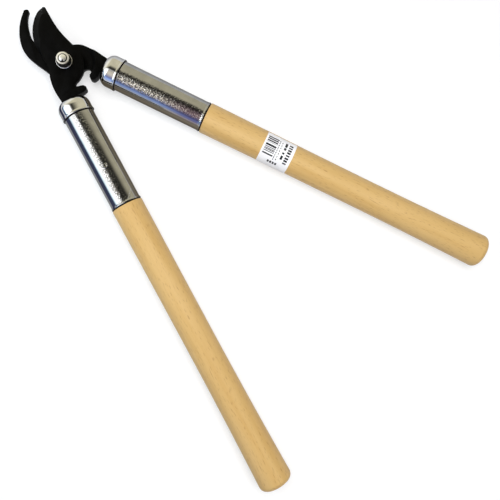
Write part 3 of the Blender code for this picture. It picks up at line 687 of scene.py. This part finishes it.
bpy.ops.mesh.normals_make_consistent(inside=False)
bpy.ops.object.mode_set(mode="OBJECT")

# Matt white label paper. The eye sees a plain white with a faint fibre of about 0.5 mm.
paper, shader = new_material("white_label_paper", Roughness=0.75, Specular_IOR_Level=0.3)
place = add_node(paper, "TexCoord").outputs["Object"]
fibre = add_node(paper, "TexNoise", {
    "Vector": place, "Scale": 1 / (FIBRE * MM), "Detail": 3.0}).outputs["Fac"]
tone = add_node(paper, "ValToRGB", {"Fac": fibre}, [(0.3, "F1F0F2"), (0.7, "FAF9FA")])
tooth = add_node(paper, "Bump", {"Height": fibre, "Strength": 0.1, "Distance": FIBRE_DEPTH * MM})
link(paper, shader, {"Base Color": tone.outputs["Color"], "Normal": tooth.outputs["Normal"]})

# Black printing ink on the same paper. The eye sees it slightly uneven, where the ribbon printed thin.
ink, shader = new_material("black_label_ink", Roughness=0.6, Specular_IOR_Level=0.3)
place = add_node(ink, "TexCoord").outputs["Object"]
thin = add_node(ink, "TexNoise", {"Vector": place, "Scale": 1 / (THIN_INK * MM), "Detail": 2.0})
tone = add_node(ink, "ValToRGB", {"Fac": thin.outputs["Fac"]}, [(0.4, "0C0C0E"), (0.8, "3A3A3E")])
link(ink, shader, {"Base Color": tone.outputs["Color"]})

marks = [(BLOCKS_FROM, BLOCKS_TO, left, right) for left, right in BLOCKS]
bar_start = BARS_START
for bar, gap in BARS:
    marks.append((BARS_FROM, BARS_TO, bar_start, bar_start + bar))
    bar_start += bar + gap
for row_from, row_to, first, dash, spacing, count in DASH_ROWS:
    for step in range(count):
        dash_start = first + step * spacing
        marks.append((row_from, row_to, dash_start, dash_start + dash))
for step in range(COLUMN_COUNT):
    dash_start = COLUMN_START + step * COLUMN_SPACING
    marks.append((dash_start, dash_start + COLUMN_DASH, COLUMN_FROM, COLUMN_TO))

coat(label, paper, ink)
for face in label.data.polygons:
    offset = face.center - foot
    at = offset.dot(along) / MM - LABEL_START
    across = (outer_angle - math.atan2(offset.dot(outward), offset.dot(UP))) * LABEL_RADIUS
    inked = any(low < at < high and left < across < right for low, high, left, right in marks)
    face.material_index = int(inked)
sheet = label.modifiers.new("sheet", "SOLIDIFY")
sheet.thickness, sheet.offset = LABEL_THICKNESS * MM, 1.0
bpy.context.view_layer.objects.active = label
bpy.ops.object.modifier_apply(modifier=sheet.name)
smooth(label, LABEL_SMOOTH)
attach(label, "hook_half")
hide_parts("paper_label")


# The studio
# A plain white floor under a light tent. The tent's wall is white cloth towards a window on the left,
# pale blue beside it, olive grey on the right, and dark overhead, where the camera looks in.

# Sizes in metres.
FLOOR_SIZE, TENT_RADIUS, TENT_CENTRE = 40.0, 1.5, Vector((0, 0.1, 0))
GLOW_NEAR, GLOW_FAR = (0.4, 0.46), (1.3, 0.93)    # distance from the part, and the floor's glow there
TENT_STRENGTH, AMBIENT = 3.3, 0.14
OVERHEAD, OLIVE, PALE_OLIVE = "282723", "948F7B", "B4B2A7"
BLUE = ((0, "9C968A"), (40, "9C968C"), (51, "7C7981"), (62, "4E587C"), (74, "7186B5"), (87, "858FA5"))
WINDOW = ((0, "FFFFFD"), (61, "FDFFFF"), (71, "D5E9F1"), (80, "2A3854"), (90, "2B364E"))
BEYOND_JAWS = (1.0, 1.4, 0.0)                     # the olive wall's direction
CAMERA_PLACE, CAMERA_TURN = (-0.0772, -0.0425, 0.6311), (2.758, -6.416, -46.728)
FOCAL_LENGTH, SENSOR_WIDTH = 43.2, 36.0


def seen_directly(material):
    """1 for rays from the camera, a mirror or glass, and 0 for light that only falls on other things."""
    path = add_node(material, "LightPath").outputs
    mirrored = add_node(material, "Math", {0: path["Is Camera Ray"], 1: path["Is Glossy Ray"]},
                        operation="MAXIMUM")
    seen = add_node(material, "Math", {0: mirrored.outputs["Value"], 1: path["Is Transmission Ray"]},
                    operation="MAXIMUM")
    return seen.outputs["Value"]


bpy.ops.object.select_all(action="DESELECT")
bpy.ops.mesh.primitive_plane_add(size=FLOOR_SIZE, location=(0, 0, 0))
floor = bpy.context.object
floor.name = "studio_floor"

# Matt white floor paper. The lamps fade out far from the part, so its own glow makes up for them there.
floor_white, shader = new_material("white_floor", Roughness=0.9, Specular_IOR_Level=0.0,
                                   Base_Color=linear("C4C4C4"), Emission_Color=linear("FFFFFF"))
place = add_node(floor_white, "TexCoord").outputs["Object"]
away = add_node(floor_white, "VectorMath", {0: place}, operation="LENGTH")
glow = add_node(floor_white, "MapRange", {
    "Value": away.outputs["Value"], "From Min": GLOW_NEAR[0], "From Max": GLOW_FAR[0],
    "To Min": GLOW_NEAR[1], "To Max": GLOW_FAR[1]})
lift = add_node(floor_white, "Math", {0: seen_directly(floor_white), 1: glow.outputs["Result"]},
                operation="MULTIPLY")
link(floor_white, shader, {"Emission Strength": lift.outputs["Value"]})
floor.data.materials.append(floor_white)

bpy.ops.mesh.primitive_uv_sphere_add(segments=64, ring_count=32, radius=TENT_RADIUS, location=TENT_CENTRE)
tent = bpy.context.object
tent.name = "light_tent"
bpy.ops.object.mode_set(mode="EDIT")
bpy.ops.mesh.select_all(action="SELECT")
bpy.ops.mesh.bisect(plane_co=TENT_CENTRE + UP * MM, plane_no=UP, clear_inner=True)
bpy.ops.object.mode_set(mode="OBJECT")
tent.visible_camera = tent.visible_diffuse = tent.visible_shadow = False

# Tent cloth that glows by itself and shows only in reflections. A stop of its blue and window walls is at
# degrees below the zenith. The window stands on the left towards the jaws, and the rest of the left wall is
# blue. The dark opening overhead fades into both, and into the olive wall on the right and beyond the jaws.
cloth = bpy.data.materials.new("tent_cloth")
cloth.use_nodes = True
cloth.node_tree.nodes.clear()
place = add_node(cloth, "TexCoord").outputs["Object"]
towards = add_node(cloth, "VectorMath", {0: place}, operation="NORMALIZE").outputs["Vector"]
parts = add_node(cloth, "SeparateXYZ", {"Vector": towards}).outputs
zenith = add_node(cloth, "Math", {0: parts["Z"]}, operation="ARCCOSINE")
below_zenith = add_node(cloth, "Math", {0: zenith.outputs["Value"], 1: math.pi / 2}, operation="DIVIDE")
turn = add_node(cloth, "Math", {0: parts["Y"], 1: parts["X"]}, operation="ARCTAN2")
beyond = add_node(cloth, "VectorMath", {0: towards, 1: BEYOND_JAWS}, operation="DOT_PRODUCT")
axes = {"X": parts["X"], "Y": parts["Y"], "turn": turn.outputs["Value"], "beyond": beyond.outputs["Value"]}

light = {"overhead": linear(OVERHEAD), "olive": linear(OLIVE), "pale olive": linear(PALE_OLIVE)}
for name, wall in (("blue", BLUE), ("window", WINDOW)):
    graded = add_node(cloth, "ValToRGB", {"Fac": below_zenith.outputs["Value"]},
                      [(angle / 90, hex_colour) for angle, hex_colour in wall])
    light[name] = graded.outputs["Color"]

in_window = (("Y", 0.24, 0.35), ("turn", math.radians(105), math.radians(120)))
to_right = add_node(cloth, "Math", {0: patch(cloth, axes, 1.0, (("beyond", 0.55, 0.98),)),
                                    1: patch(cloth, axes, 1.0, (("X", 0.44, 0.95),))}, operation="MAXIMUM")
for name, share, under, over in (
        ("blue side", patch(cloth, axes, 1.0, (("X", -0.05, -0.47),)), "overhead", "blue"),
        ("window side", patch(cloth, axes, 1.0, (("X", 0.0, -0.48),)), "overhead", "window"),
        ("left side", patch(cloth, axes, 1.0, in_window), "blue side", "window side"),
        ("right side", patch(cloth, axes, 1.0, (("Y", 0.72, 0.92),)), "olive", "pale olive"),
        ("all sides", to_right.outputs["Value"], "left side", "right side")):
    light[name] = add_node(cloth, "Mix", {0: share, 6: light[under], 7: light[over]},
                           data_type="RGBA").outputs[2]
tent_light = add_node(cloth, "Emission", {"Color": light["all sides"], "Strength": TENT_STRENGTH})
add_node(cloth, "OutputMaterial", {"Surface": tent_light.outputs["Emission"]})
tent.data.materials.append(cloth)

# One broad soft lamp above, a weak one towards the butts and a weak cooler one on the window's side. All
# are kept out of the reflections, where the plating shows the tent instead.
for name, at, aim, size, power, colour in (
        ("top_lamp", (0.09, 0.06, 1.1), (0.05, 0, 0), 0.9, 10.5, "FFFFFF"),
        ("front_lamp", (-0.02, -0.42, 0.65), (0.05, -0.1, 0), 0.5, 1.4, "FFFFFF"),
        ("side_lamp", (-0.36, 0.4, 0.36), (0.03, 0.1, 0), 0.4, 1.5, "E6F2FF")):
    bpy.ops.object.light_add(type="AREA", location=at,
                             rotation=(Vector(at) - Vector(aim)).to_track_quat("Z", "Y").to_euler())
    lamp = bpy.context.object
    lamp.name = name
    lamp.data.shape, lamp.data.size, lamp.data.energy = "DISK", size, power
    lamp.data.color = linear(colour)[:3]
    lamp.visible_camera = lamp.visible_glossy = False

world = bpy.data.worlds.new("white_surround")
world.use_nodes = True
surround = add_node(world, "MapRange", {"Value": seen_directly(world), "To Min": AMBIENT, "To Max": 1.0})
background = world.node_tree.nodes["Background"]
background.inputs["Color"].default_value = linear("FFFFFF")
link(world, background, {"Strength": surround.outputs["Result"]})
bpy.context.scene.world = world

bpy.ops.object.camera_add(location=CAMERA_PLACE, rotation=[math.radians(angle) for angle in CAMERA_TURN])
camera = bpy.context.object
camera.data.lens, camera.data.sensor_width = FOCAL_LENGTH, SENSOR_WIDTH
bpy.context.scene.camera = camera
bpy.context.scene.view_settings.view_transform = "Standard"
